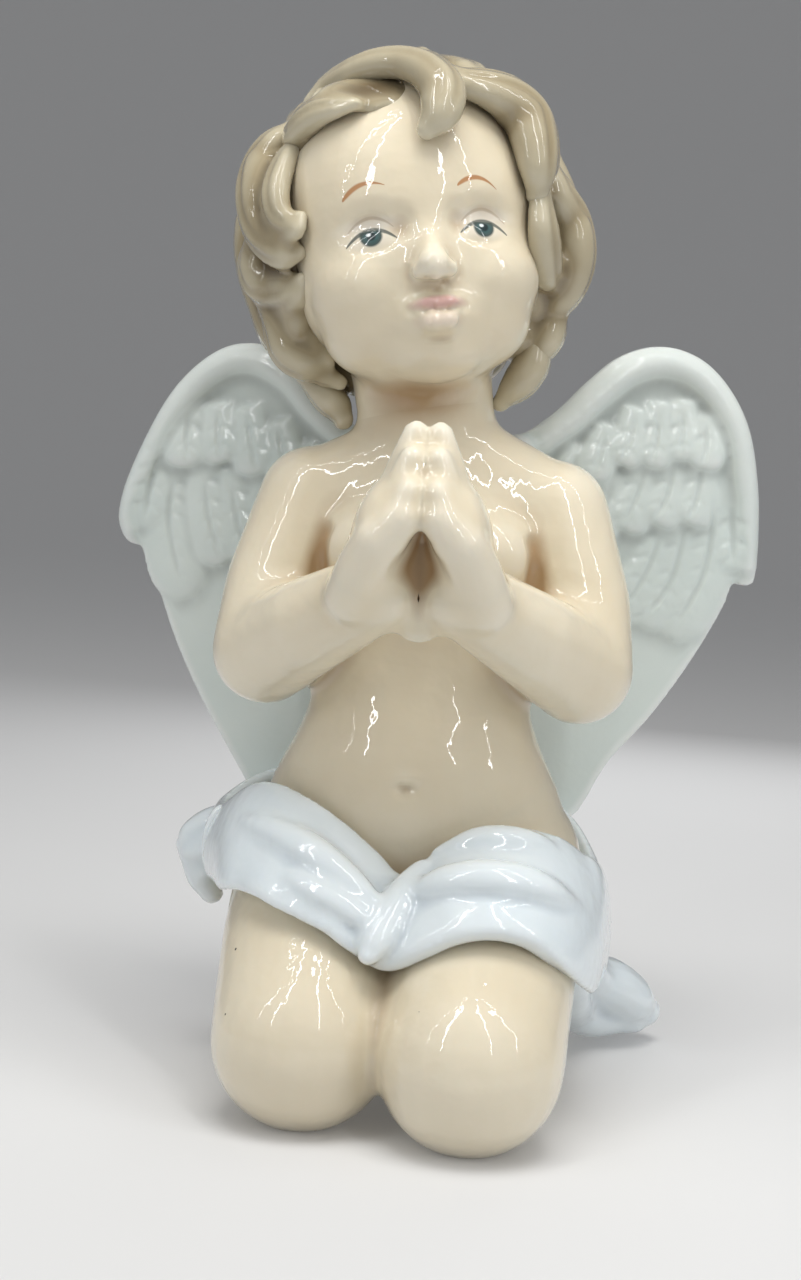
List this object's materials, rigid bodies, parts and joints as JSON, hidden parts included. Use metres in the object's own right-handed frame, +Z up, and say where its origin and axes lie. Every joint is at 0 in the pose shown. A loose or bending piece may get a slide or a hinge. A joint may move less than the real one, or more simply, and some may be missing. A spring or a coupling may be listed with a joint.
{
  "type": "kneeling angel figurine",
  "caption": "Glazed porcelain figurine of a kneeling winged cherub, looking up with its hands joined in prayer, a white cloth round its hips.",
  "frame": {"origin": "on the plane the figure kneels on, in the middle of its footprint rectangle", "axes": "+Z up; the figure faces -Y, so +X is the figure's own left"},
  "size_m": [0.1262, 0.1084, 0.1908],
  "materials": {
    "skin_glaze": "warm cream underglaze on porcelain, clear high-gloss glaze, painted face",
    "hair_glaze": "greige-brown underglaze wash, darker in the grooves, clear high-gloss glaze",
    "cloth_glaze": "cool white, clear high-gloss glaze with a few dark kiln specks",
    "wing_glaze": "white with grey in the feather grooves, satin glaze"
  },
  "bodies": {
    "root": {"torso": "skin_glaze", "right_thigh": "skin_glaze", "right_shin": "skin_glaze", "right_foot": "skin_glaze", "right_arm": "skin_glaze", "right_hand": "skin_glaze", "left_thigh": "skin_glaze", "left_shin": "skin_glaze", "left_foot": "skin_glaze", "left_arm": "skin_glaze", "left_hand": "skin_glaze", "head": "skin_glaze", "hair_crown": "hair_glaze", "forelock": "hair_glaze", "nape_curls": "hair_glaze", "right_side_curls": "hair_glaze", "left_side_curls": "hair_glaze", "drape_front": "cloth_glaze", "drape_back": "cloth_glaze", "drape_hip_tail": "cloth_glaze", "drape_floor_tail": "cloth_glaze", "right_wing": "wing_glaze", "left_wing": "wing_glaze"}
  },
  "joints": []
}
